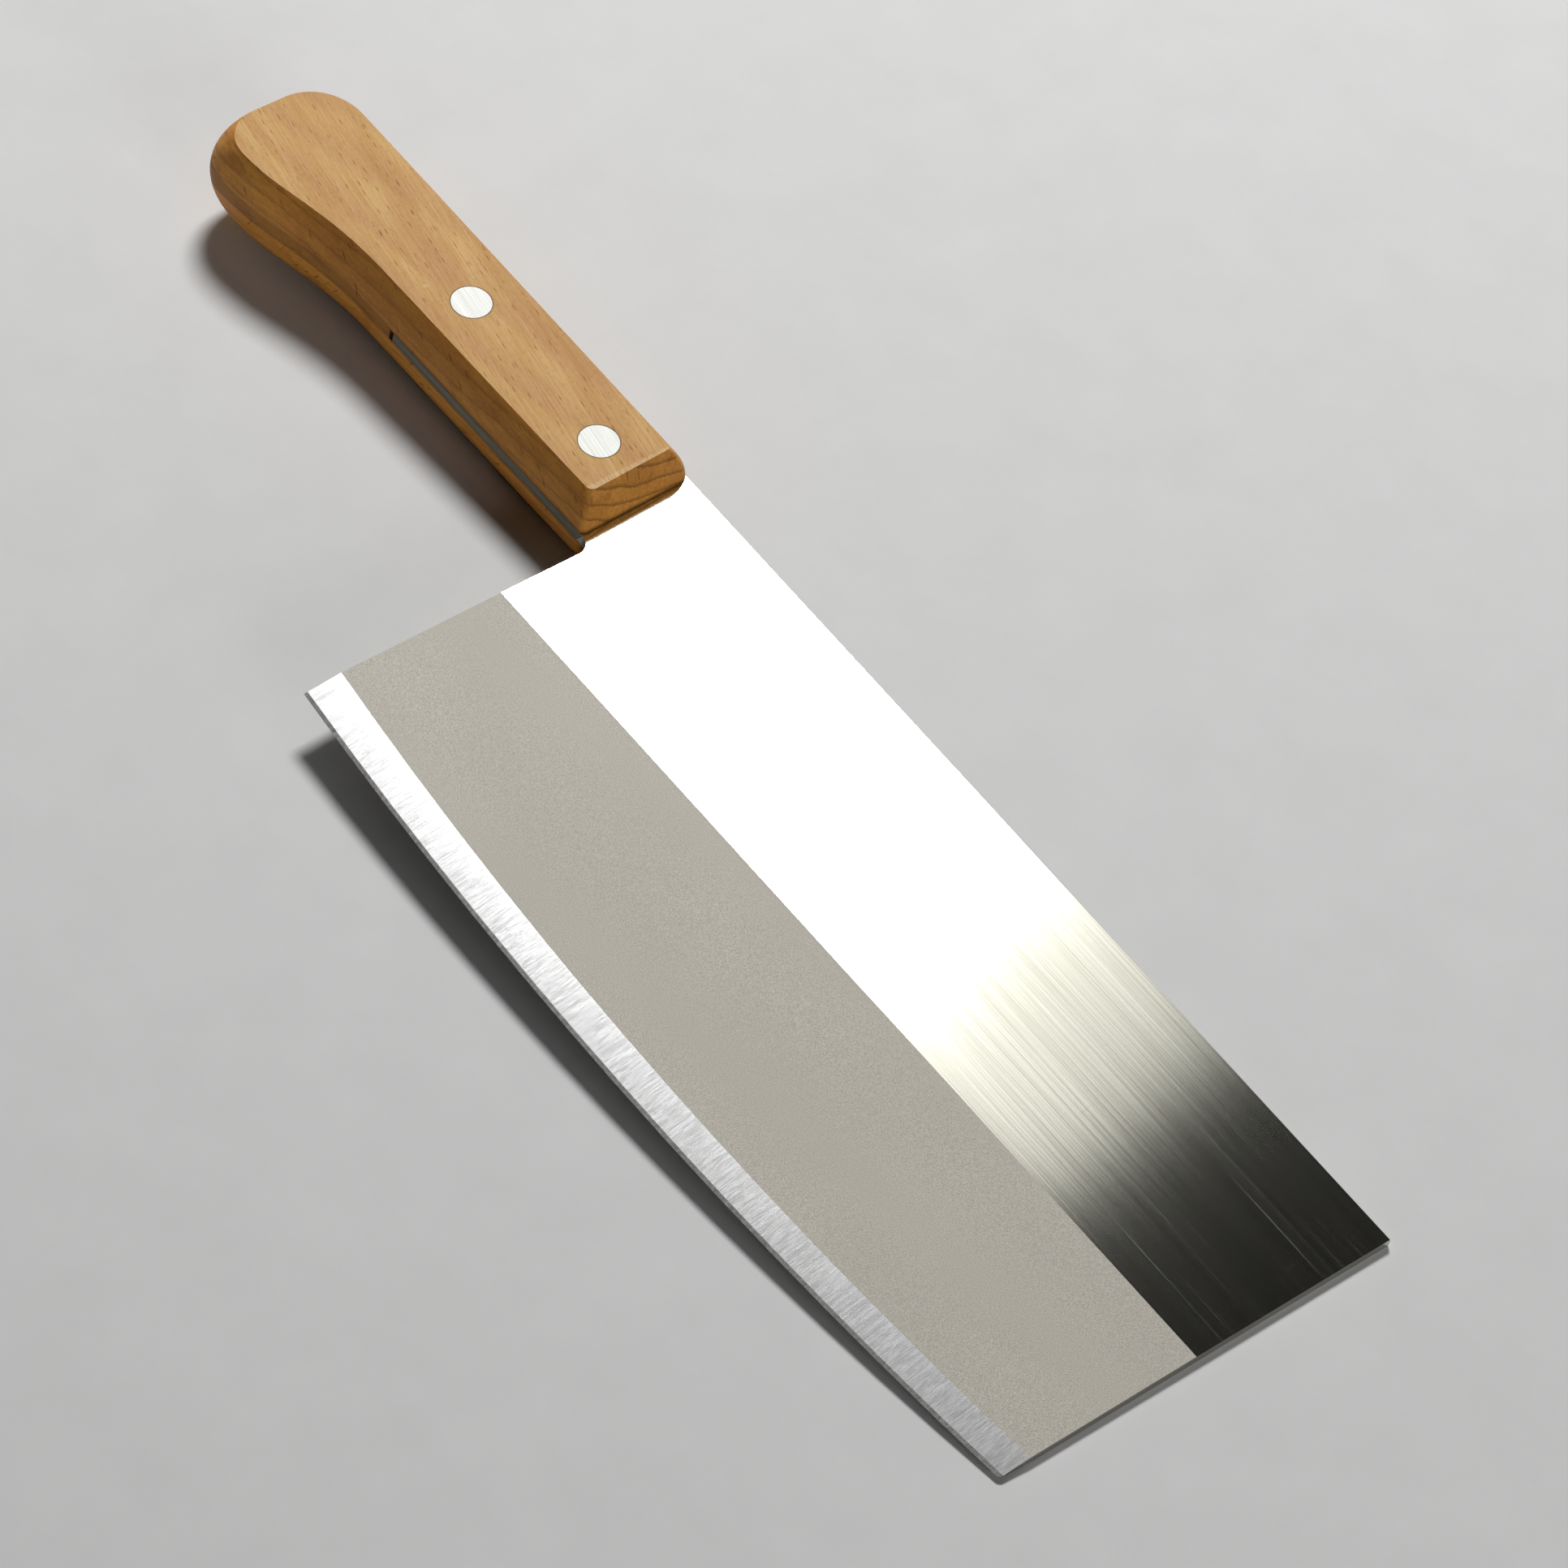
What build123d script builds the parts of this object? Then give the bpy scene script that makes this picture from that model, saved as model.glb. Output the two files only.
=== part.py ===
"""Thin rectangular cleaver: a sheet-steel blade with a half-length tang, held in a
slotted beech handle by two flush cutler's rivets.

Every piece is drawn with the knife straight: the blade's mid-plane in XY, the back of
the knife along the X axis, +X towards the tip, and X = 0 at the front of the wood.
At the end the knife is laid on its side, as it rests on a table: on the front under
edge of the handle and on the tip. Millimetres.
"""

import os
from math import atan2, degrees, sqrt

from build123d import *

# --- Blade ---------------------------------------------------------------------------
stock = 2.3  # sheet thickness at the tang and the heel
tip_thickness = 2.0  # the sides taper evenly from the heel to the tip
neck_length = 4.0  # bare steel between the wood and the heel
edge_length = 200.0  # heel to tip
blade_height = 96.2  # back to the lowest point of the curved cutting edge
heel_rise = 4.0  # the edge at the heel is this much above its lowest point
tip_rise = 6.2  # the same, at the tip
lowest_share = 0.5  # where that lowest point is, along the edge
grind_heel_height = 47.4  # back to the line where the lower grind starts, at the heel
grind_tip_height = 45.6  # the same, at the tip
thickness_at_bevel = 1.7  # where the lower grind meets the polished bevel
bevel_width = 7.2  # polished bevel, across, with the sharpened edge
thickness_at_edge = 0.4  # where the polished bevel meets the sharpened edge
sharpened_width = 0.8  # the narrow steep bevel at the very edge
edge_land = 0.06  # the edge itself, never a true line
tip_corner_radius = 1.0  # the tip's corner on the edge side, eased on the stone
neck_fillet = 3.0  # inner corner between neck and heel
arris = 0.15  # the back's long edges, just broken

# --- Handle --------------------------------------------------------------------------
handle_length = 116.2  # front of the wood to the butt
handle_thickness = 19.0  # flat to flat
front_height = 26.2  # back to belly at the front of the wood
waist_height = 27.2  # back to belly where the belly starts to swell
waist_to_butt = 39.2  # along the handle
swell_height = 32.4  # back to belly where the swell levels out
swell_to_butt = 17.2  # along the handle
butt_height = 33.2  # back to belly at the butt, before its corner is rounded
front_lean = 0.8  # the belly side of the front reaches this much further forward
side_radius = 17.5  # roundness of belly, butt and front, seen along the handle
back_radius = 13.5  # the same for the back, which is rounder
section_levels = (-1.0, -0.8, -0.45, 0.0, 0.45, 0.8, 1.0)  # shares of half a thickness

# Radii of the outline's corners, at the mid-plane and at the flats.
front_back_radii = (1.8, 0.6)
front_belly_radii = (1.3, 1.5)
waist_radii = (90.0, 92.8)
swell_radii = (50.0, 47.2)
butt_belly_radii = (8.0, 8.0)
butt_back_radii = (12.6, 10.2)

# --- Tang, slot and rivets -----------------------------------------------------------
tang_length = 58.3  # front of the wood to the end of the tang
slot_gap = 0.12  # each side of the tang
slot_end_gap = 1.2  # the saw runs past the end of the tang
front_rivet_to_front = 11.1  # axis to the front of the wood
rear_rivet_to_end = 6.7  # axis to the end of the tang
rivet_depth = 14.5  # back of the knife to the rivets' axis
rivet_head_radius = 4.0
rivet_head_thickness = 2.6
rivet_sleeve_radius = 2.75  # hollow shank, a tight fit in the tang
rivet_shank_radius = 1.9  # solid shank, driven into the hollow one
rivet_hole_gap = 0.05  # round the heads and shanks in the wood
shank_gap = 0.02  # solid shank in hollow shank, on the radius
shank_end_gap = 0.6  # left at the end of each shank when it is driven home

half_stock = stock / 2
half_handle = handle_thickness / 2
heel_x = neck_length
tip_x = heel_x + edge_length
waist_x = waist_to_butt - handle_length
swell_x = swell_to_butt - handle_length
rivet_points = {
    "front": (-front_rivet_to_front, -rivet_depth),
    "rear": (rear_rivet_to_end - tang_length, -rivet_depth),
}


def fallen_back(radius, height):
    """How far a convex side of this radius has fallen back at this height."""
    return radius - sqrt(radius**2 - height**2)


def belly_height(x):
    """Back to belly along the straight front part of the handle."""
    return front_height + (waist_height - front_height) * x / waist_x


def handle_outline(height):
    """The handle's outline at a height above its mid-plane, from the back of the front."""
    side = fallen_back(side_radius, height)
    back = fallen_back(back_radius, height)
    share = side / fallen_back(side_radius, half_handle)
    corners = [
        (-side, -back, front_back_radii),
        (front_lean - side, side - belly_height(front_lean), front_belly_radii),
        (waist_x, side - waist_height, waist_radii),
        (swell_x, side - swell_height, swell_radii),
        (side - handle_length, side - butt_height, butt_belly_radii),
        (side - handle_length, -back, butt_back_radii),
    ]
    points = [(x, y) for x, y, _ in corners]
    radii = [middle + (flat - middle) * share for _, _, (middle, flat) in corners]
    FilletPolyline(*points, radius=radii, close=True)


# --- The blade, its upper half drawn and then mirrored ----------------------------------
heel_corner = Vector(heel_x, heel_rise - blade_height)
lowest_point = Vector(heel_x + lowest_share * edge_length, -blade_height)
tip_corner = Vector(tip_x, tip_rise - blade_height)
neck_start = (-2 * neck_length, -belly_height(-2 * neck_length))
neck_end = (heel_x, -belly_height(heel_x))

with BuildPart() as blade:
    # The tang has the handle's own outline, because the two are ground flush together.
    with BuildSketch():
        with BuildLine():
            handle_outline(0)
        make_face()
        with Locations((-tang_length, 0)):
            Rectangle(tang_length, 2 * butt_height, align=(Align.MIN, Align.CENTER), mode=Mode.INTERSECT)
        with BuildLine():
            edge_curve = ThreePointArc(heel_corner, lowest_point, tip_corner)
            Polyline(tip_corner, (tip_x, 0), (neck_start[0], 0), neck_start, neck_end, heel_corner)
        make_face()
    extrude(amount=half_stock)

    upright_edges = blade.edges().filter_by(Axis.Z)
    fillet(upright_edges.sort_by_distance((*neck_end, 0))[0], neck_fillet)
    fillet(blade.edges().filter_by(Axis.Z).sort_by_distance(tip_corner)[0], tip_corner_radius)

    # The side tapers in a plane from the full sheet at the heel to the tip.
    with BuildSketch(Plane.XZ):
        Polygon((heel_x, half_stock), (tip_x, tip_thickness / 2), (tip_x, half_stock), align=None)
    extrude(amount=blade_height, mode=Mode.SUBTRACT)

    # The lower grind is a plane through the grind line, down to the top of the bevel.
    grind_heel = Vector(heel_x, -grind_heel_height, half_stock)
    grind_tip = Vector(tip_x, -grind_tip_height, tip_thickness / 2)
    bevel_top = Vector(lowest_point.X, bevel_width - blade_height, thickness_at_bevel / 2)
    along_grind = (grind_tip - grind_heel).normalized()
    grind_normal = (bevel_top - grind_heel).cross(along_grind).normalized()
    with BuildSketch(Plane(grind_heel, x_dir=along_grind, z_dir=grind_normal)):
        with Locations((-edge_length / 2, 0)):
            Rectangle(2 * edge_length, blade_height, align=(Align.MIN, Align.MAX))
    extrude(amount=stock, mode=Mode.SUBTRACT)

    # Both bevels run at a constant angle along the curved edge, so they are turned
    # about the centre of its arc. Radii of their lines, and heights above the mid-plane:
    edge_centre = edge_curve.arc_center
    edge_radius = edge_curve.radius
    sharpened_radius = edge_radius - sharpened_width
    bevel_slope = (thickness_at_bevel - thickness_at_edge) / 2 / (bevel_width - sharpened_width)
    clear_radius = edge_radius - 3 * bevel_width
    clear_height = thickness_at_edge / 2 + bevel_slope * (sharpened_radius - clear_radius)
    with BuildSketch(Plane(edge_centre, x_dir=(0, -1, 0), z_dir=(-1, 0, 0))):
        Polygon(
            (clear_radius, clear_height),
            (sharpened_radius, thickness_at_edge / 2),
            (edge_radius, edge_land / 2),
            (edge_radius + stock, edge_land / 2),
            (edge_radius + stock, 2 * stock),
            (clear_radius, 2 * stock),
            align=None,
        )
    revolve(axis=Axis(edge_centre, (0, 0, 1)), mode=Mode.SUBTRACT)

    with Locations(*rivet_points.values()):
        Hole(rivet_sleeve_radius)
    mirror(about=Plane.XY)

    back_edges = blade.faces().sort_by(Axis.Y)[-1].edges().filter_by(lambda edge: edge.length > stock)
    chamfer(back_edges, arris)

# --- The handle ----------------------------------------------------------------------
head_seat = half_handle - rivet_head_thickness

with BuildPart() as handle:
    for level in section_levels:
        with BuildSketch(Plane.XY.offset(level * half_handle)):
            with BuildLine():
                handle_outline(level * half_handle)
            make_face()
    loft()

    # The saw cut that takes the tang, open at the front, the back and the belly.
    with BuildSketch(Plane.XZ):
        with Locations((-tang_length - slot_end_gap, 0)):
            Rectangle(handle_length, stock + 2 * slot_gap, align=(Align.MIN, Align.CENTER))
    extrude(amount=2 * butt_height, both=True, mode=Mode.SUBTRACT)

    # Holes for the rivets' shanks, let in at both flats for their heads.
    with Locations(*rivet_points.values()):
        Hole(rivet_sleeve_radius + rivet_hole_gap)
    with BuildSketch(Plane.XY.offset(head_seat), Plane.XY.offset(-half_handle)):
        with Locations(*rivet_points.values()):
            Circle(rivet_head_radius + rivet_hole_gap)
    extrude(amount=rivet_head_thickness, mode=Mode.SUBTRACT)

# --- The rivets ----------------------------------------------------------------------
pieces = {"blade": blade, "handle": handle}

for place, point in rivet_points.items():
    # Hollow half: head on the upper flat, shank reaching down towards the other head.
    with BuildPart() as female:
        with BuildSketch(Plane.XY.offset(head_seat)):
            with Locations(point):
                Circle(rivet_head_radius)
        extrude(amount=rivet_head_thickness)
        with BuildSketch(Plane.XY.offset(head_seat)):
            with Locations(point):
                Circle(rivet_sleeve_radius)
                Circle(rivet_shank_radius + shank_gap, mode=Mode.SUBTRACT)
        extrude(amount=shank_end_gap - 2 * head_seat)
    pieces[f"{place}_rivet_female"] = female

    # Solid half: head on the lower flat, shank driven up the hollow one.
    with BuildPart() as male:
        with BuildSketch(Plane.XY.offset(-half_handle)):
            with Locations(point):
                Circle(rivet_head_radius)
        extrude(amount=rivet_head_thickness)
        with BuildSketch(Plane.XY.offset(-head_seat)):
            with Locations(point):
                Circle(rivet_shank_radius)
        extrude(amount=2 * head_seat - shank_end_gap)
    pieces[f"{place}_rivet_male"] = male

# --- Laid down on its side, origin under the middle of its box --------------------------
handle_contact_x = front_lean - fallen_back(side_radius, half_handle)
lying_angle = degrees(atan2(half_handle - tip_thickness / 2, tip_x - handle_contact_x))
for piece in pieces.values():
    piece.part.move(Location((0, 0, 0), (0, lying_angle, 0)))
box = Compound([piece.part for piece in pieces.values()]).bounding_box()
to_origin = Location((-box.center().X, -box.center().Y, -box.min.Z))

os.makedirs("parts", exist_ok=True)
for name, piece in pieces.items():
    piece.part.move(to_origin)
    piece.part.label = name
    export_step(piece.part, f"parts/{name}.step")

print(f"laid down by {lying_angle:.5f} degrees, then moved by {to_origin.position}")
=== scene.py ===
"""Kitchen cleaver: brushed, blasted and polished steel blade, oiled beech handle, rivets.

The knife lies on its side. "Knife millimetres" below are the maker's own coordinates:
x runs from the front of the wood towards the tip, y from the back of the knife (0) down
towards the edge (minus), z out of the blade's mid-plane, all with the knife held straight.
"""

from math import cos, radians, sin

import bmesh
import bpy
from mathutils import Matrix, Vector

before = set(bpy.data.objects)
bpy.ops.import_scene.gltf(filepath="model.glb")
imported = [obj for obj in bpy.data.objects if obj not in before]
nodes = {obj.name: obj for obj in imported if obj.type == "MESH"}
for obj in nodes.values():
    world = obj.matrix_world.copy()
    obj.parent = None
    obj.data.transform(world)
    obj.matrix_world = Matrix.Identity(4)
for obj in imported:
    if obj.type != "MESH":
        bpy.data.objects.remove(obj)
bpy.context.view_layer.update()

# --- Where the straight knife lies in the part's frame -------------------------------
MM = 0.001
LYING_ANGLE = radians(2.36277)  # tip down, about Y
LAID_AT = Vector((-0.04387585, 0.04812943, 0.00940934))  # front of the wood, at the back
LAY = Matrix.Translation(LAID_AT) @ Matrix.Rotation(LYING_ANGLE, 4, "Y")
UNLAY = LAY.inverted()


# --- Shading helpers -----------------------------------------------------------------
class Board:
    """Lays out one node tree: makes nodes, fills their sockets and joins them up."""

    def __init__(self, tree):
        self.tree = tree

    def plug(self, socket, value):
        """Joins another node's output to a socket, or sets the socket to a plain value."""
        if isinstance(value, bpy.types.NodeSocket):
            self.tree.links.new(value, socket)
        else:
            socket.default_value = value

    def node(self, kind, sockets=None, **fields):
        made = self.tree.nodes.new("ShaderNode" + kind)
        for name, value in fields.items():
            setattr(made, name, value)
        for name, value in (sockets or {}).items():
            self.plug(made.inputs[name], value)
        return made

    def math(self, operation, a, b=0.0, c=0.0, clamp=False):
        """One sum on values; MULTIPLY_ADD gives a * b + c."""
        made = self.node("Math", {0: a, 1: b, 2: c}, operation=operation, use_clamp=clamp)
        return made.outputs[0]

    def span(self, value, low, high, to_low=0.0, to_high=1.0, smooth=True):
        """Carries a value from one range to another, with soft ends if smooth."""
        kind = "SMOOTHSTEP" if smooth else "LINEAR"
        sockets = {"Value": value, "From Min": low, "From Max": high}
        sockets.update({"To Min": to_low, "To Max": to_high})
        return self.node("MapRange", sockets, interpolation_type=kind).outputs["Result"]

    def noise(self, vector, scale=1.0, detail=2.0, roughness=0.5):
        sockets = {"Vector": vector, "Scale": scale, "Detail": detail, "Roughness": roughness}
        return self.node("TexNoise", sockets).outputs["Fac"]

    def stretch(self, vector, scale=(1, 1, 1), turn=(0, 0, 0), shift=(0, 0, 0)):
        sockets = {"Vector": vector, "Scale": scale, "Location": shift}
        sockets["Rotation"] = [radians(angle) for angle in turn]
        return self.node("Mapping", sockets, vector_type="POINT").outputs["Vector"]

    def mix(self, share, a, b):
        """Colour a where the share is 0, colour b where it is 1."""
        made = self.node("Mix", {0: share, 6: a, 7: b}, data_type="RGBA", clamp_factor=True)
        return made.outputs[2]

    def group(self, tree, sockets):
        """Places a shared effect and gives its outputs by name."""
        made = self.node("Group", node_tree=tree)
        for name, value in sockets.items():
            self.plug(made.inputs[name], value)
        return made.outputs

    def knife_mm(self):
        """Knife millimetres of the point being shaded."""
        spot = self.node("TexCoord").outputs["Object"]
        sockets = {"Vector": spot, "Location": LAID_AT, "Scale": (MM, MM, MM)}
        sockets["Rotation"] = (0.0, LYING_ANGLE, 0.0)
        return self.node("Mapping", sockets, vector_type="TEXTURE").outputs["Vector"]

    def bump(self, height, distance, strength=1.0):
        """A normal from a height; the distance is the relief, in metres, of a height of 1."""
        sockets = {"Height": height, "Distance": distance, "Strength": strength}
        return self.node("Bump", sockets).outputs["Normal"]


def colour(red, green, blue):
    """A colour given as it looks on a screen, 0 to 255, as the linear one a shader takes."""
    return tuple(((c / 255 + 0.055) / 1.055) ** 2.4 for c in (red, green, blue)) + (1.0,)


def new_group(name, inputs, outputs):
    """An empty node group with named inputs (name: default) and named value outputs."""
    tree = bpy.data.node_groups.new(name, "ShaderNodeTree")
    for key, default in inputs.items():
        kind = "NodeSocketVector" if default is None else "NodeSocketFloat"
        socket = tree.interface.new_socket(key, in_out="INPUT", socket_type=kind)
        if default is not None:
            socket.default_value = default
    for key in outputs:
        tree.interface.new_socket(key, in_out="OUTPUT", socket_type="NodeSocketFloat")
    board = Board(tree)
    entry = tree.nodes.new("NodeGroupInput")
    leave = tree.nodes.new("NodeGroupOutput")
    return tree, board, entry.outputs, leave.inputs


def new_material(name, **principled):
    """A material with one Principled shader, and the board that its nodes go on."""
    material = bpy.data.materials.new(name)
    material.use_nodes = True
    board = Board(material.node_tree)
    shader = material.node_tree.nodes["Principled BSDF"]
    for key, value in principled.items():
        shader.inputs[key.replace("_", " ").title().replace("Ior", "IOR")].default_value = value
    return material, board, shader.inputs


# --- Shared effects ------------------------------------------------------------------
def make_abrasive_lines():
    """Lines left by a belt or stone, running along X of the vector that goes in."""
    tree, board, given, out = new_group(
        "abrasive_lines", {"Vector": None}, ("Fine", "Broad", "Single")
    )
    vector = given["Vector"]
    fine = board.noise(board.stretch(vector, (0.015, 4.0, 3.0)), detail=4.0, roughness=0.75)
    broad = board.noise(board.stretch(vector, (0.004, 0.5, 0.5)), detail=6.0, roughness=0.75)
    # A few deeper lines stand alone: thin peaks of a stretched noise.
    single = board.noise(board.stretch(vector, (0.018, 3.1, 1.0), shift=(7, 3, 5)), detail=1.0)
    board.plug(out["Fine"], fine)
    board.plug(out["Broad"], broad)
    board.plug(out["Single"], board.span(single, 0.65, 0.76))
    return tree


def make_specks():
    """Sparse dots: a share of a field of cells holds one soft round dot each."""
    tree, board, given, out = new_group(
        "specks", {"Vector": None, "Spacing": 5.0, "Radius": 0.2, "Share": 0.2}, ("Mask",)
    )
    scaled = board.node(
        "VectorMath", {0: given["Vector"], 3: board.math("DIVIDE", 1.0, given["Spacing"])},
        operation="SCALE",
    ).outputs[0]
    cells = board.node("TexVoronoi", {"Vector": scaled, "Scale": 1.0}).outputs
    distance = board.math("MULTIPLY", cells["Distance"], given["Spacing"])
    dot = board.math("SUBTRACT", 1.0, board.math("DIVIDE", distance, given["Radius"]), clamp=True)
    chance = board.node("SeparateColor", {0: cells["Color"]}).outputs[0]
    chosen = board.math("LESS_THAN", chance, given["Share"])
    board.plug(out["Mask"], board.math("MULTIPLY", dot, chosen))
    return tree


def make_hairlines():
    """Stray straight scratches, thin and short, in the direction X of the vector."""
    tree, board, given, out = new_group(
        "hairlines", {"Vector": None, "Length": 10.0, "Width": 0.1, "Share": 0.05}, ("Mask",)
    )
    parts = board.node("SeparateXYZ", {0: given["Vector"]}).outputs
    along = board.math("DIVIDE", parts[0], given["Length"])
    across = board.math("DIVIDE", parts[1], given["Width"])
    vector = board.node("CombineXYZ", {0: along, 1: across, 2: parts[2]}).outputs[0]
    cells = board.node("TexVoronoi", {"Vector": vector, "Scale": 1.0}).outputs
    chance = board.node("SeparateColor", {0: cells["Color"]}).outputs[0]
    chosen = board.math("LESS_THAN", chance, given["Share"])
    body = board.span(cells["Distance"], 0.5, 0.15)
    board.plug(out["Mask"], board.math("MULTIPLY", body, chosen))
    return tree


ABRASIVE_LINES = make_abrasive_lines()
SPECKS = make_specks()
HAIRLINES = make_hairlines()


# --- Steel ---------------------------------------------------------------------------
# Shares of red, green and blue that each finish sends back, then 1 for a solid colour.
BRUSHED_DULL = (0.56, 0.55, 0.465, 1.0)
BRUSHED_BRIGHT = (0.70, 0.69, 0.60, 1.0)
BRUSHED_FINE_LINE = (0.34, 0.33, 0.275, 1.0)
BRUSHED_SINGLE_LINE = (0.88, 0.88, 0.86, 1.0)
BLASTED_PIT = (0.388, 0.371, 0.330, 1.0)
BLASTED_PEAK = (0.632, 0.606, 0.545, 1.0)
BLASTED_CLOUD = (0.425, 0.408, 0.37, 1.0)
BRIGHT_SPECK = (0.95, 0.95, 0.93, 1.0)
DARK_SPECK = (0.06, 0.06, 0.05, 1.0)
POLISHED_LINE = (0.39, 0.39, 0.388, 1.0)
POLISHED = (0.53, 0.53, 0.526, 1.0)
STONED_LINE = (0.22, 0.22, 0.21, 1.0)
STONED = (0.58, 0.57, 0.55, 1.0)
GROUND_LINE = (0.32, 0.31, 0.28, 1.0)
GROUND = (0.60, 0.59, 0.55, 1.0)
# The tang's rim colours are painted shade: dark steel standing for the shadowed floor that it
# mirrors.
TANG_RIM_SHADE_LINE = (0.10, 0.095, 0.075, 1.0)
TANG_RIM_SHADE = (0.24, 0.23, 0.19, 1.0)


def lines_tangent(board, degrees):
    """The direction, in the blade's plane, in which a lined finish spreads light most."""
    spread = Vector((cos(radians(degrees)), sin(radians(degrees)), 0.0))
    laid = LAY.to_3x3() @ spread
    return board.node("CombineXYZ", {0: laid.x, 1: laid.y, 2: laid.z}).outputs[0]


def brushed_steel():
    """The flat along the back: brushed lengthwise, nearly a mirror."""
    material, board, shader = new_material("brushed_steel", metallic=1.0, anisotropic=0.9)
    place = board.knife_mm()
    lines = board.group(ABRASIVE_LINES, {"Vector": place})
    specks = board.group(SPECKS, {"Vector": place, "Spacing": 9.0, "Radius": 0.28, "Share": 0.3})
    crossing = board.stretch(place, turn=(0, 0, 78))
    hair = board.group(
        HAIRLINES, {"Vector": crossing, "Length": 5.0, "Width": 0.09, "Share": 0.003}
    )
    tint = board.mix(board.span(lines["Broad"], 0.36, 0.64), BRUSHED_DULL, BRUSHED_BRIGHT)
    tint = board.mix(board.span(lines["Fine"], 0.4, 0.65, 0.0, 0.45), tint, BRUSHED_FINE_LINE)
    tint = board.mix(board.math("MULTIPLY", lines["Single"], 0.5), tint, BRUSHED_SINGLE_LINE)
    board.plug(shader["Base Color"], tint)
    rough = board.span(lines["Fine"], 0.35, 0.65, 0.105, 0.14, smooth=False)
    rough = board.math("ADD", rough, board.math("MULTIPLY", lines["Broad"], 0.02))
    rough = board.math("ADD", rough, board.math("MULTIPLY", lines["Single"], 0.08))
    rough = board.math("ADD", rough, board.math("MULTIPLY", specks["Mask"], 0.4))
    rough = board.math("ADD", rough, board.math("MULTIPLY", hair["Mask"], 0.1))
    board.plug(shader["Roughness"], rough)
    board.plug(shader["Tangent"], lines_tangent(board, 90.0))
    height = board.math("ADD", lines["Fine"], board.math("MULTIPLY", lines["Single"], 0.6))
    board.plug(shader["Normal"], board.bump(height, 1.0e-6))
    return material


def blasted_steel():
    """The lower grind: bead-blasted to an even, fine-grained grey."""
    material, board, shader = new_material("blasted_steel", metallic=1.0)
    place = board.knife_mm()
    grain = board.noise(place, 5.5, detail=3.0, roughness=0.7)
    cloud = board.noise(board.stretch(place, (0.02, 0.035, 0.02)), detail=2.0)
    elsewhere = board.stretch(place, shift=(31, 17, 5))
    bright = board.group(SPECKS, {"Vector": place, "Spacing": 16.0, "Radius": 0.3, "Share": 0.25})
    dark = board.group(SPECKS, {"Vector": elsewhere, "Spacing": 30.0, "Radius": 0.45, "Share": 0.3})
    tint = board.mix(board.span(grain, 0.36, 0.64), BLASTED_PIT, BLASTED_PEAK)
    tint = board.mix(board.span(cloud, 0.35, 0.65, 0.0, 0.15), tint, BLASTED_CLOUD)
    tint = board.mix(bright["Mask"], tint, BRIGHT_SPECK)
    tint = board.mix(dark["Mask"], tint, DARK_SPECK)
    board.plug(shader["Base Color"], tint)
    board.plug(shader["Roughness"], board.span(grain, 0.3, 0.7, 0.74, 0.82, smooth=False))
    board.plug(shader["Normal"], board.bump(grain, 5e-6, 0.6))
    return material


def polished_bevel():
    """The bevel above the edge: polished, with fine scratches straight across it."""
    material, board, shader = new_material("polished_bevel", metallic=1.0, anisotropic=0.7)
    place = board.knife_mm()
    across = board.stretch(place, turn=(0, 0, 86))
    lines = board.group(ABRASIVE_LINES, {"Vector": across})
    tint = board.mix(board.span(lines["Fine"], 0.36, 0.64), POLISHED_LINE, POLISHED)
    board.plug(shader["Base Color"], tint)
    rough = board.span(lines["Fine"], 0.3, 0.7, 0.17, 0.19, smooth=False)
    board.plug(shader["Roughness"], rough)
    board.plug(shader["Tangent"], lines_tangent(board, 0.0))
    return material


def sharpened_edge():
    """The narrow bevel at the very edge, straight off a fine stone."""
    material, board, shader = new_material("sharpened_edge", metallic=1.0)
    place = board.knife_mm()
    lines = board.group(ABRASIVE_LINES, {"Vector": board.stretch(place, (3, 3, 3), turn=(0, 0, 80))})
    tint = board.mix(board.span(lines["Fine"], 0.38, 0.62), STONED_LINE, STONED)
    board.plug(shader["Base Color"], tint)
    board.plug(shader["Roughness"], board.span(lines["Broad"], 0.3, 0.7, 0.2, 0.27))
    board.plug(shader["Normal"], board.bump(lines["Fine"], 0.4e-6))
    return material


def ground_steel(name, dark, light, roughness):
    """Narrow faces ground square on a belt, with lines along each face's length."""
    material, board, shader = new_material(name, metallic=1.0)
    place = board.knife_mm()
    # Along X on the back and the tang's rim, along Y on the heel and tip ends.
    back_lines = board.group(ABRASIVE_LINES, {"Vector": board.stretch(place, turn=(90, 0, 0))})
    end_lines = board.group(ABRASIVE_LINES, {"Vector": board.stretch(place, turn=(0, 90, 90))})
    normal = board.node("NewGeometry").outputs["True Normal"]
    facing = board.node("SeparateXYZ", {0: normal}).outputs[0]
    is_end = board.math("GREATER_THAN", board.math("ABSOLUTE", facing), 0.7)
    sockets = {0: is_end, 2: back_lines["Fine"], 3: end_lines["Fine"]}
    fine = board.node("Mix", sockets, data_type="FLOAT").outputs[0]
    board.plug(shader["Base Color"], board.mix(board.span(fine, 0.3, 0.7), dark, light))
    spread = board.span(fine, 0.3, 0.7, roughness, 1.4 * roughness, smooth=False)
    board.plug(shader["Roughness"], spread)
    board.plug(shader["Normal"], board.bump(fine, 2.0e-6))
    return material


# --- Beech ---------------------------------------------------------------------------
PITH = (1.0, 57.0)  # y and z of the growth rings' centre at the front of the wood, in mm
RING_RISE = 0.09  # the rings climb this much along the handle
RING_WIDTH = 3.3  # mm a year
FIBRE_ANGLE = 9.0  # degrees between the fibres and the handle, seen on the flat
RIVET_PLACES = ((-11.1, -14.5), (-51.6, -14.5))  # knife x and y, in mm
RIVET_RADIUS = 4.0  # mm
SCUFF_PLACE = (-59.5, -19.5)  # knife x and y of the one pale scuff, in mm
SLOT_SIDE = 1.3  # mm above and below the mid-plane, just outside the saw cut

# The flat tones are paler and greyer, partly a painted sheen of lit faces; the side tones are
# browner and more saturated, partly painted shade.
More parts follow.
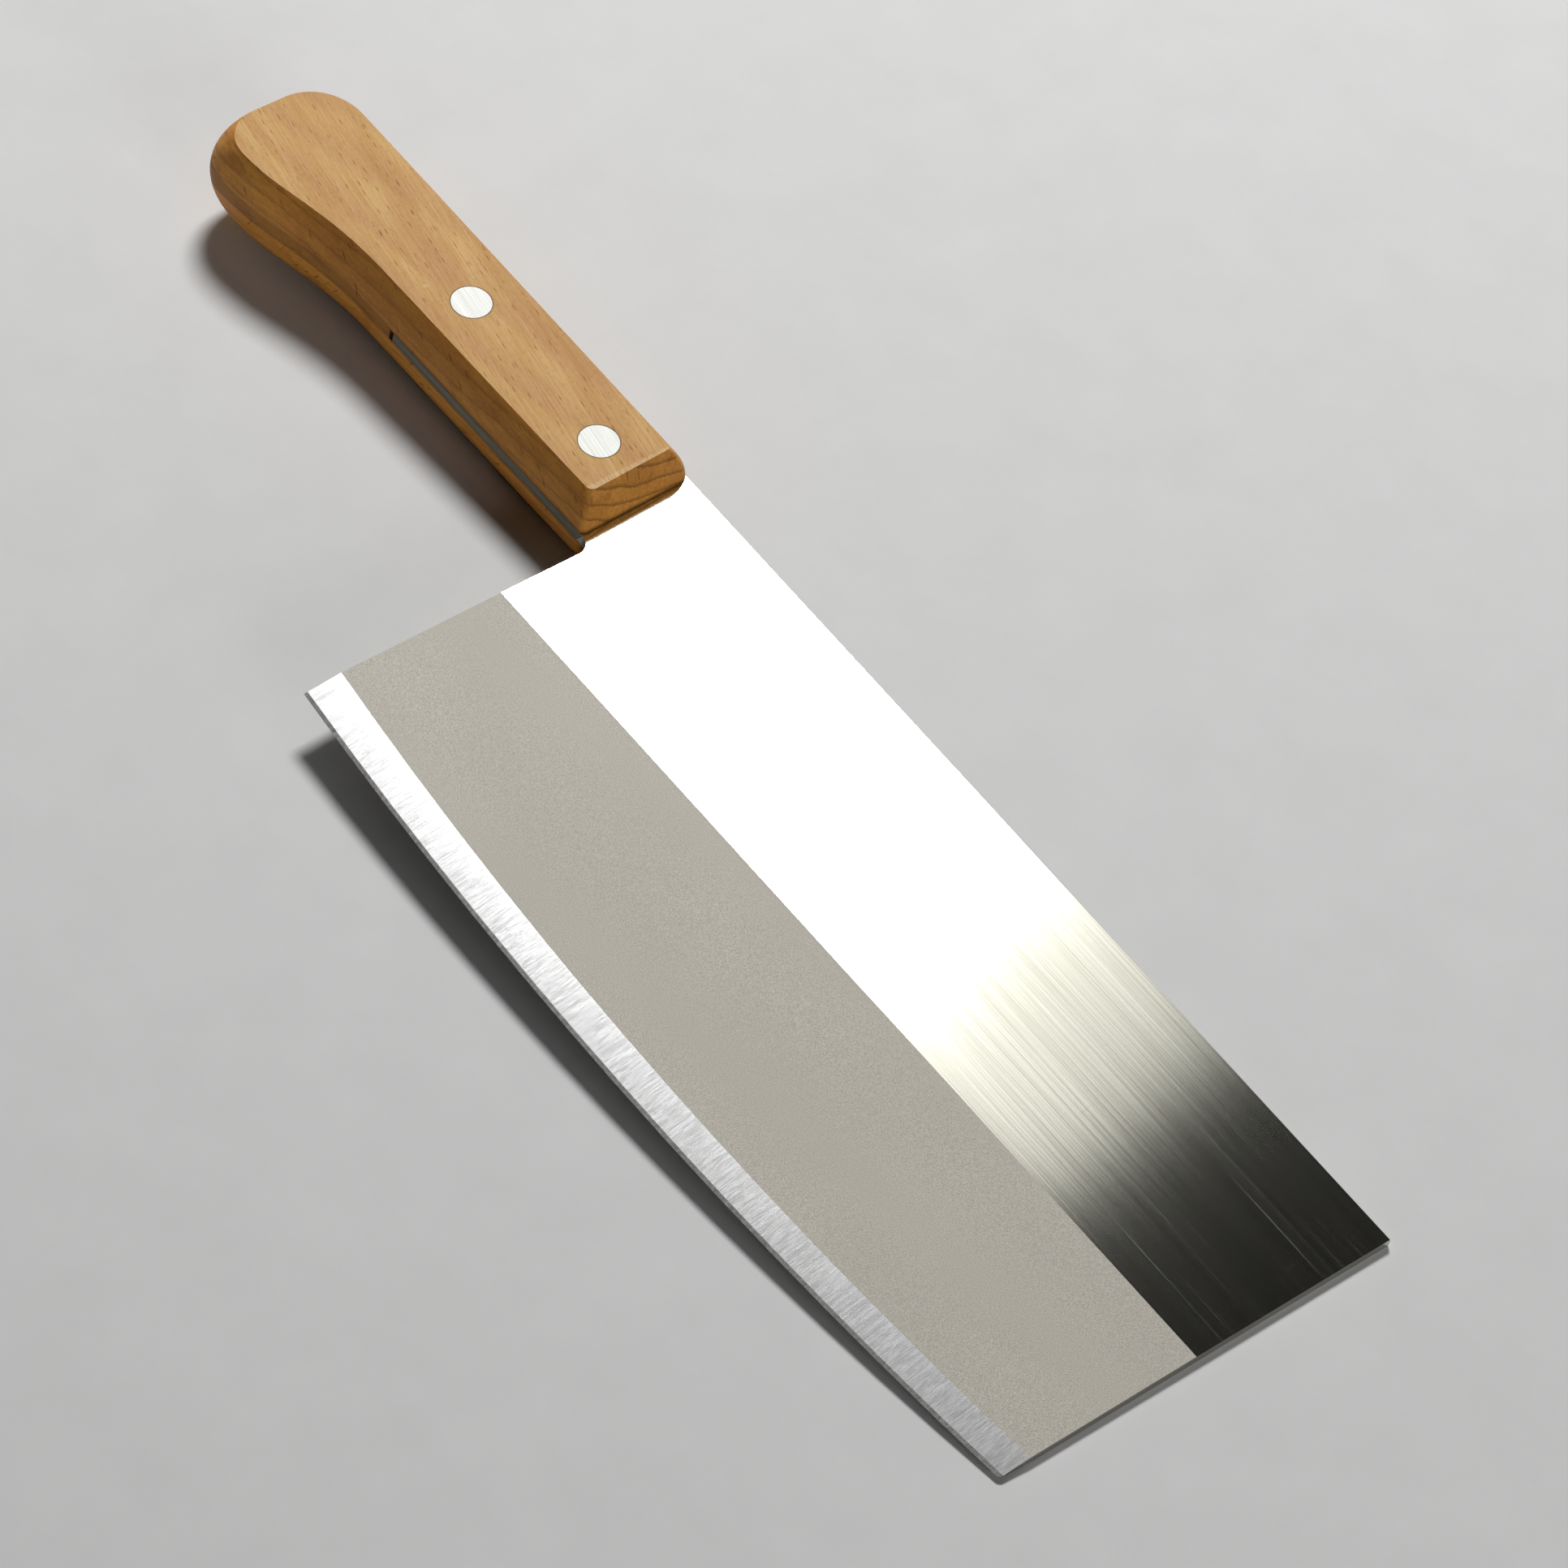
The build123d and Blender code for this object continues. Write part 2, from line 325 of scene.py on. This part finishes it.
FLAT_PALE = colour(224, 180, 108)
FLAT_DEEP = colour(206, 156, 86)
FLAT_SILK = colour(196, 142, 72)
FLAT_LATE_WOOD = colour(182, 118, 72)
SIDE_PALE = colour(232, 160, 64)
SIDE_DEEP = colour(210, 138, 50)
SIDE_LINE = colour(184, 108, 30)
SIDE_BLOTCH = colour(160, 80, 22)
SIDE_LATE_WOOD = colour(150, 82, 26)
SIDE_YEAR_END = colour(92, 44, 12)
GRAIN_PALE = colour(232, 186, 116)
GRAIN_DARK = colour(146, 98, 52)
PORE_BROWN = colour(120, 76, 36)
RAY_BROWN = colour(104, 62, 30)
# Dark: the real dirt round the rivets, and the painted shade beside the slot.
DIRT_AND_SHADE = colour(62, 48, 20)
# Pale: a painted highlight on the flat's front edge, and the real scuff.
PALE_HIGHLIGHT_AND_SCUFF = colour(238, 208, 160)


def growth_rings(board, parts, fibre):
    """Share of the year at each point: 0 as growth starts, 1 at the dark end of the year."""
    sway = board.noise(board.stretch(fibre, (0.018, 0.07, 0.07)), detail=2.0)
    waver = board.noise(board.stretch(fibre, (0.05, 1.2, 1.2)), detail=3.0)
    side = board.math("SUBTRACT", parts[1], PITH[0])
    height = board.math("SUBTRACT", parts[2], PITH[1])
    above = board.math("MULTIPLY_ADD", parts[0], -RING_RISE, height)
    squares = board.math("MULTIPLY_ADD", side, side, board.math("MULTIPLY", above, above))
    reach = board.math("SQRT", squares)
    reach = board.math("MULTIPLY_ADD", board.math("SUBTRACT", sway, 0.5), 4.0, reach)
    reach = board.math("MULTIPLY_ADD", board.math("SUBTRACT", waver, 0.5), 0.8, reach)
    return board.math("FRACT", board.math("DIVIDE", reach, RING_WIDTH))


def dashes(board, vector, share):
    """Short marks, one in each chosen cell of a stretched field, some stronger than others."""
    cells = board.node("TexVoronoi", {"Vector": vector, "Scale": 1.0}).outputs
    chance = board.node("SeparateColor", {0: cells["Color"]}).outputs
    chosen = board.math("LESS_THAN", chance[0], share)
    mark = board.math("MULTIPLY", board.span(cells["Distance"], 0.45, 0.15), chosen)
    return board.math("MULTIPLY", mark, board.span(chance[1], 0.0, 1.0, 0.4, 1.0))


def distance_to(board, parts, spot, stretch=(1.0, 1.0)):
    """Distance in knife x and y from a spot, each way divided by its stretch."""
    along = board.math("DIVIDE", board.math("SUBTRACT", parts[0], spot[0]), stretch[0])
    down = board.math("DIVIDE", board.math("SUBTRACT", parts[1], spot[1]), stretch[1])
    squares = board.math("MULTIPLY_ADD", along, along, board.math("MULTIPLY", down, down))
    return board.math("SQRT", squares)


def beech():
    """Oiled beech: flats painted pale with a painted sheen, sides painted browner with painted
    shade, growth rings and the dashes of its rays.
    """
    material, board, shader = new_material("oiled_beech", specular_ior_level=0.2)
    place = board.knife_mm()
    fibre = board.stretch(place, turn=(0, 0, FIBRE_ANGLE))
    parts = board.node("SeparateXYZ", {0: place}).outputs
    facing = board.node("SeparateXYZ", {0: board.node("TexCoord").outputs["Normal"]}).outputs
    on_flat = board.span(board.math("ABSOLUTE", facing[2]), 0.65, 0.9)
    on_front = board.span(facing[0], 0.6, 0.9)

    year = growth_rings(board, parts, fibre)
    late = board.math("POWER", year, 3.0)  # each year ends darker, then starts afresh
    rim = board.math("MULTIPLY", board.span(year, 0.72, 0.93), board.span(year, 1.0, 0.95))
    soft_late = board.math("MULTIPLY", board.span(year, 0.0, 0.75), board.span(year, 1.0, 0.75))
    silk = board.noise(board.stretch(fibre, (0.09, 2.6, 2.6)), detail=4.0, roughness=0.65)
    streak = board.stretch(fibre, (0.035, 1.1, 1.6), shift=(2, 8, 4))
    lines = board.noise(streak, detail=3.0, roughness=0.6)
    tone = board.noise(board.stretch(fibre, (0.014, 0.10, 0.10), shift=(3, 1, 2)), detail=3.0)
    blotch = board.noise(board.stretch(fibre, (0.12, 0.35, 0.35), shift=(6, 2, 9)), detail=3.0)
    grain = board.noise(board.stretch(fibre, (0.9, 5.0, 5.0)), detail=3.0, roughness=0.75)
    ray = dashes(board, board.stretch(fibre, (0.38, 4.6, 0.12)), 0.09)
    pore = dashes(board, board.stretch(fibre, (0.8, 8.0, 0.5), shift=(5, 9, 1)), 0.08)

    slow = board.span(tone, 0.35, 0.65)
    flat_wood = board.mix(slow, FLAT_PALE, FLAT_DEEP)
    flat_wood = board.mix(board.span(silk, 0.3, 0.7, 0.0, 0.5), flat_wood, FLAT_SILK)
    flat_wood = board.mix(board.math("MULTIPLY", soft_late, 0.3), flat_wood, FLAT_LATE_WOOD)
    # The sides' base tone is partly painted shade.
    side_wood = board.mix(slow, SIDE_PALE, SIDE_DEEP)
    side_wood = board.mix(board.span(lines, 0.35, 0.65, 0.0, 0.45), side_wood, SIDE_LINE)
    side_wood = board.mix(board.span(blotch, 0.55, 0.7, 0.0, 0.4), side_wood, SIDE_BLOTCH)
    side_late = board.math("MULTIPLY", late, board.span(on_front, 0.0, 1.0, 0.2, 0.4, smooth=False))
    side_wood = board.mix(side_late, side_wood, SIDE_LATE_WOOD)
    side_rim = board.math("MULTIPLY", rim, board.span(on_front, 0.0, 1.0, 0.2, 0.5, smooth=False))
    side_wood = board.mix(side_rim, side_wood, SIDE_YEAR_END)
    # The flats are painted palest, a painted sheen of lit faces; the back is painted nearly as pale.
    rubbed = board.math("MAXIMUM", on_flat, board.span(facing[1], 0.1, 0.8, 0.0, 0.7))
    wood = board.mix(rubbed, side_wood, flat_wood)
    wood = board.mix(board.span(grain, 0.35, 0.65, 0.0, 0.16), wood, GRAIN_PALE)
    wood = board.mix(board.span(grain, 0.5, 0.32, 0.0, 0.2), wood, GRAIN_DARK)
    wood = board.mix(board.math("MULTIPLY", pore, 0.4), wood, PORE_BROWN)
    wood = board.mix(board.math("MULTIPLY", ray, 0.8), wood, RAY_BROWN)

    # Dirt gathers round the rivets; the wood is painted with shade where it meets steel, and the
    # flat's front edge with a pale painted highlight.
    near_front, near_rear = (distance_to(board, parts, spot) for spot in RIVET_PLACES)
    to_rivet = board.math("MINIMUM", near_front, near_rear)
    ring = board.span(to_rivet, RIVET_RADIUS + 0.35, RIVET_RADIUS + 0.1, 0.0, 0.7)
    # Painted shade: the sides and front darken within 1 mm of the slot.
    seam_shade = board.span(board.math("ABSOLUTE", parts[2]), SLOT_SIDE + 1.0, SLOT_SIDE)
    seam_shade = board.math("MULTIPLY", seam_shade, board.span(on_front, 0.0, 1.0, 0.4, 0.65, smooth=False))
    seam_shade = board.math("MULTIPLY", seam_shade, board.math("SUBTRACT", 1.0, on_flat))
    rivet_dirt_and_seam_shade = board.math("MAXIMUM", ring, seam_shade)
    wood = board.mix(rivet_dirt_and_seam_shade, wood, DIRT_AND_SHADE)
    # A painted highlight: a pale line along the flat's front edge; the scuff is a real pale mark.
    edge = board.math("MULTIPLY", board.span(parts[0], -3.7, -3.0), on_flat)
    scuff = board.span(distance_to(board, parts, SCUFF_PLACE, (0.6, 1.1)), 1.0, 0.2)
    edge_highlight_and_scuff = board.math("MULTIPLY", board.math("MAXIMUM", edge, scuff), 0.5)
    edge_highlight_and_scuff = board.math("MULTIPLY", edge_highlight_and_scuff, board.span(grain, 0.3, 0.6))
    wood = board.mix(edge_highlight_and_scuff, wood, PALE_HIGHLIGHT_AND_SCUFF)
    board.plug(shader["Base Color"], wood)

    rough = board.span(silk, 0.3, 0.7, 0.46, 0.6, smooth=False)
    board.plug(shader["Roughness"], board.math("MULTIPLY_ADD", ray, 0.2, rough))
    height = board.math("MULTIPLY_ADD", silk, 0.25, board.math("MULTIPLY", grain, 0.2))
    height = board.math("SUBTRACT", height, board.math("MULTIPLY_ADD", pore, 0.5, ray))
    board.plug(shader["Normal"], board.bump(height, 30e-6))
    return material


# --- Rivets --------------------------------------------------------------------------
RIVET_DULL = (0.50, 0.50, 0.475, 1.0)
RIVET_BRIGHT = (0.66, 0.66, 0.635, 1.0)
RIVET_SCRATCH = (0.36, 0.35, 0.32, 1.0)


def satin_rivet():
    """Aluminium, rubbed flush with the wood: straight satin lines and a few strays."""
    material, board, shader = new_material("satin_rivet", metallic=1.0)
    place = board.knife_mm()
    rubbed = board.stretch(place, (2.0, 1.0, 1.0), turn=(0, 0, 4))
    lines = board.group(ABRASIVE_LINES, {"Vector": rubbed})
    stray = board.stretch(place, turn=(0, 0, -12))
    hair = board.group(HAIRLINES, {"Vector": stray, "Length": 3.0, "Width": 0.08, "Share": 0.05})
    tint = board.mix(lines["Fine"], RIVET_DULL, RIVET_BRIGHT)
    tint = board.mix(board.math("MULTIPLY", hair["Mask"], 0.5), tint, RIVET_SCRATCH)
    board.plug(shader["Base Color"], tint)
    board.plug(shader["Roughness"], board.span(lines["Fine"], 0.3, 0.7, 0.62, 0.74, smooth=False))
    board.plug(shader["Normal"], board.bump(lines["Fine"], 2.0e-6))
    return material


# --- Finishes on the pieces ------------------------------------------------------------
# The blade's zones, by how far a face leans towards the edge; steeper than SIDE it is a rim.
SIDE = 0.9
GRIND_LEAN = 0.003
BEVEL_LEAN = 0.05
EDGE_LEAN = 0.15
BLADE_ZONES = {
    "back_flat": brushed_steel(),
    "lower_grind": blasted_steel(),
    "bevel": polished_bevel(),
    "edge": sharpened_edge(),
    "rim": ground_steel("ground_steel", GROUND_LINE, GROUND, 0.26),
    # The tang's rim takes the darker steel: painted shade.
    "tang_rim": ground_steel("tang_rim_painted_shade", TANG_RIM_SHADE_LINE, TANG_RIM_SHADE, 0.34),
}


def blade_zone(face):
    """The zone of the blade that a face belongs to."""
    clear_of_wood = (UNLAY @ face.center).x > 0
    out = UNLAY.to_3x3() @ face.normal
    lean = -out.y
    if abs(out.z) < SIDE:
        return "rim" if clear_of_wood else "tang_rim"
    if lean > EDGE_LEAN:
        return "edge"
    if lean > BEVEL_LEAN:
        return "bevel"
    if lean > GRIND_LEAN and clear_of_wood:
        return "lower_grind"
    return "back_flat"


def finish_blade(blade):
    """Gives each face of the blade the finish of its zone."""
    blade.data.materials.clear()
    for material in BLADE_ZONES.values():
        blade.data.materials.append(material)
    order = list(BLADE_ZONES)
    for face in blade.data.polygons:
        face.material_index = order.index(blade_zone(face))


def finish(node, material):
    node.data.materials.clear()
    node.data.materials.append(material)


finish_blade(nodes["blade"])
finish(nodes["handle"], beech())
rivet_finish = satin_rivet()
for name, node in nodes.items():
    if "rivet" in name:
        finish(node, rivet_finish)


# --- Floor, light and camera -----------------------------------------------------------
FLOOR_HALF = 3.0  # metres from the middle to each side
TABLE_GREY = (0.74, 0.74, 0.735, 1.0)
TABLE_PALE = (0.82, 0.82, 0.815, 1.0)


def make_floor():
    """A plain pale table top."""
    mesh = bpy.data.meshes.new("floor")
    shape = bmesh.new()
    bmesh.ops.create_grid(shape, x_segments=1, y_segments=1, size=FLOOR_HALF)
    shape.to_mesh(mesh)
    shape.free()
    floor = bpy.data.objects.new("floor", mesh)
    bpy.context.scene.collection.objects.link(floor)
    material, board, shader = new_material("pale_table", roughness=0.85)
    spot = board.node("TexCoord").outputs["Object"]
    mottle = board.noise(spot, 60.0, detail=6.0, roughness=0.6)
    board.plug(shader["Base Color"], board.mix(mottle, TABLE_GREY, TABLE_PALE))
    mesh.materials.append(material)


def make_disc_light(name, place, radius, power, aim=None):
    """A round soft light, in metres and watts; without an aim it faces straight down."""
    light = bpy.data.lights.new(name, "AREA")
    light.shape = "DISK"
    light.size = 2 * radius
    light.energy = power
    lamp = bpy.data.objects.new(name, light)
    lamp.location = place
    if aim:
        lamp.rotation_euler = (Vector(aim) - Vector(place)).to_track_quat("-Z", "Y").to_euler()
    bpy.context.scene.collection.objects.link(lamp)


make_floor()
# One softbox up beyond the butt: its cloth glows evenly, with the lamp's hot middle behind it.
make_disc_light("softbox_cloth", (-0.884, 0.83, 1.51), 0.437, 2.9)
make_disc_light("softbox_middle", (-0.860, 0.785, 1.50), 0.28, 33.0)
# A weaker one, low beyond the tip, opens up the shaded sides.
make_disc_light("side_fill", (1.4, -0.10, 0.30), 0.40, 7.5, aim=(-0.05, 0.0, 0.0))

WALL_TOP = (0.44, 0.56)  # sines of the elevations over which the pale walls fade out
CEILING_RIM = (0.90, 0.97)  # and over which the pale ceiling card fades in
WALL_GLOW = 0.30  # of the walls and the ceiling card, as polished surfaces show them
FILL = 0.01  # the dim light from all round
ROOM_COLOUR = (0.98, 0.99, 1.0, 1.0)


def make_studio():
    """A dim room, whose pale walls and ceiling card show only in reflections."""
    world = bpy.data.worlds.new("studio")
    bpy.context.scene.world = world
    world.use_nodes = True
    board = Board(world.node_tree)
    background = world.node_tree.nodes["Background"]
    upward = board.node("SeparateXYZ", {0: board.node("TexCoord").outputs["Generated"]}).outputs[2]
    walls = board.span(upward, WALL_TOP[1], WALL_TOP[0])
    ceiling = board.span(upward, CEILING_RIM[0], CEILING_RIM[1])
    glow = board.math("MULTIPLY", board.math("ADD", walls, ceiling), WALL_GLOW)
    seen = board.math("MULTIPLY", glow, board.node("LightPath").outputs["Is Glossy Ray"])
    board.plug(background.inputs["Strength"], board.math("ADD", seen, FILL))
    background.inputs["Color"].default_value = ROOM_COLOUR


make_studio()

# The camera's place and its right-hand, up and backward directions, with the knife straight.
CAMERA_PLACE = Vector((0.5600, -0.5934, 0.9177))
CAMERA_RIGHT = Vector((0.6102, 0.7779, 0.1503))
CAMERA_UP = Vector((-0.6741, 0.4100, 0.6145))
SENSOR_WIDTH = 36.0  # mm
FOCAL_LENGTH = 149.08  # mm
right = CAMERA_RIGHT.normalized()
back = right.cross(CAMERA_UP).normalized()
up = back.cross(right)
aim = Matrix((right, up, back)).transposed().to_4x4()
lens = bpy.data.cameras.new("camera")
lens.sensor_fit = "HORIZONTAL"
lens.sensor_width = SENSOR_WIDTH
lens.lens = FOCAL_LENGTH
camera = bpy.data.objects.new("camera", lens)
camera.matrix_world = LAY @ Matrix.Translation(CAMERA_PLACE) @ aim
bpy.context.scene.collection.objects.link(camera)
bpy.context.scene.camera = camera
bpy.context.scene.view_settings.view_transform = "Standard"

bpy.context.view_layer.update()
